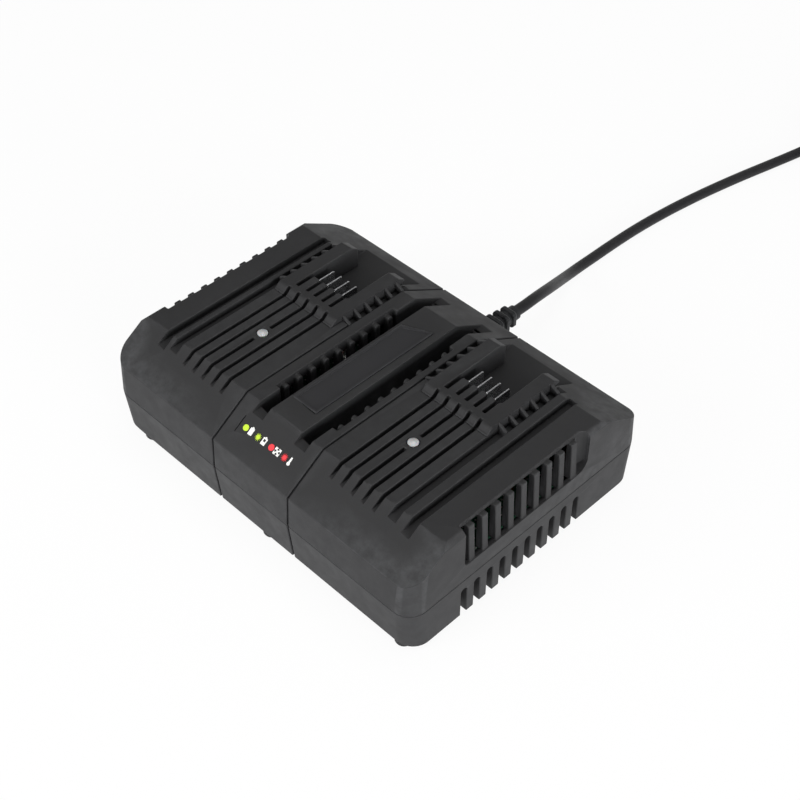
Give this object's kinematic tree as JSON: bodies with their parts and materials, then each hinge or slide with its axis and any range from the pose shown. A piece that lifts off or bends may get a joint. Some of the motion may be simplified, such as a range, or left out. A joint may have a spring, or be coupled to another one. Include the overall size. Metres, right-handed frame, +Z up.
{
  "type": "power tool battery charger",
  "caption": "Flat clamshell mains charger with side-by-side slide-in battery bays, air channels, end vents, inner power board and fan, cord and plug.",
  "frame": {"origin": "on the surface the rubber feet stand on, under the middle of the housing; the cord and what is on it don't count", "axes": "+X along the row of bays, +Y towards the cord at the rear, +Z up"},
  "size_m": [0.2645, 0.5999, 0.0723],
  "materials": {
    "cover_plastic": "fine moulded texture, satin black",
    "base_plastic": "fine moulded texture, satin black",
    "terminal_plastic": "moulded, satin black",
    "badge_plastic": "moulded, satin",
    "foot_rubber": "soft, matt",
    "screw_steel": "zinc plated",
    "print_green": "printed",
    "print_red": "printed",
    "print_white": "printed",
    "lens_clear": "milky, polished",
    "circuit_board": "solder mask",
    "contact_metal": "tin plated",
    "wire_red": "insulation",
    "ferrite": "sintered",
    "winding_tape": "polyester tape",
    "capacitor_sleeve": "shrink sleeve",
    "capacitor_black": "shrink sleeve",
    "sink_aluminium": "extruded",
    "package_epoxy": "moulded epoxy",
    "copper_wire": "enamelled copper",
    "choke_ferrite": "painted ferrite",
    "fuse_glass": "clear, plated caps",
    "film_yellow": "moulded case",
    "varistor_blue": "dipped coating",
    "socket_nylon": "nylon",
    "terminal_green": "moulded",
    "wire_brown": "insulation",
    "cord_jacket": "soft jacket",
    "boot_rubber": "soft, moulded",
    "plug_plastic": "moulded",
    "pin_metal": "nickel plated",
    "fan_plastic": "moulded"
  },
  "bodies": {
    "housing": {"upper_cover": "cover_plastic", "lower_base": "base_plastic", "rubber_feet": "foot_rubber", "housing_screws": "screw_steel", "centre_badge": "badge_plastic", "legend_green": "print_green", "legend_red": "print_red", "legend_white": "print_white", "indicator_lens_left": "lens_clear", "indicator_lens_right": "lens_clear", "lamp_board_left": "circuit_board", "lamp_board_right": "circuit_board", "terminal_block_left": "terminal_plastic", "terminal_block_right": "terminal_plastic", "contact_blades_left": "contact_metal", "contact_blades_right": "contact_metal", "bay_board_left": "circuit_board", "bay_board_right": "circuit_board", "bay_board_screws": "screw_steel", "output_wires": "wire_red", "main_board": "circuit_board", "board_screws": "screw_steel", "transformer_core": "ferrite", "transformer_winding": "winding_tape", "input_capacitors": "capacitor_sleeve", "output_capacitors": "capacitor_black", "primary_heat_sink": "sink_aluminium", "secondary_heat_sink": "sink_aluminium", "power_transistors": "package_epoxy", "output_rectifiers": "package_epoxy", "choke_core": "choke_ferrite", "choke_windings": "copper_wire", "fuse": "fuse_glass", "line_capacitor": "film_yellow", "varistor": "varistor_blue", "bridge_rectifier": "package_epoxy", "controller_chip": "package_epoxy", "wire_sockets": "socket_nylon", "inlet_terminal": "terminal_green", "mains_wires": "wire_brown", "cord_core": "cord_jacket", "cord_clamp": "terminal_plastic", "clamp_screws": "screw_steel", "cord_strain_relief": "boot_rubber", "cord_lead": "cord_jacket", "cord_coil": "cord_jacket", "cord_end": "cord_jacket", "cord_tie": "boot_rubber", "plug_body": "plug_plastic", "plug_pins": "pin_metal", "fan_frame": "fan_plastic", "fan_screws": "screw_steel"},
    "fan": {"fan_rotor": "fan_plastic"}
  },
  "joints": [
    {"name": "fan_spin", "type": "hinge", "parent": "housing", "child": "fan", "pos_m": [-0.101, -0.008, 0.031], "axis": [1, 0, 0], "continuous": true}
  ]
}
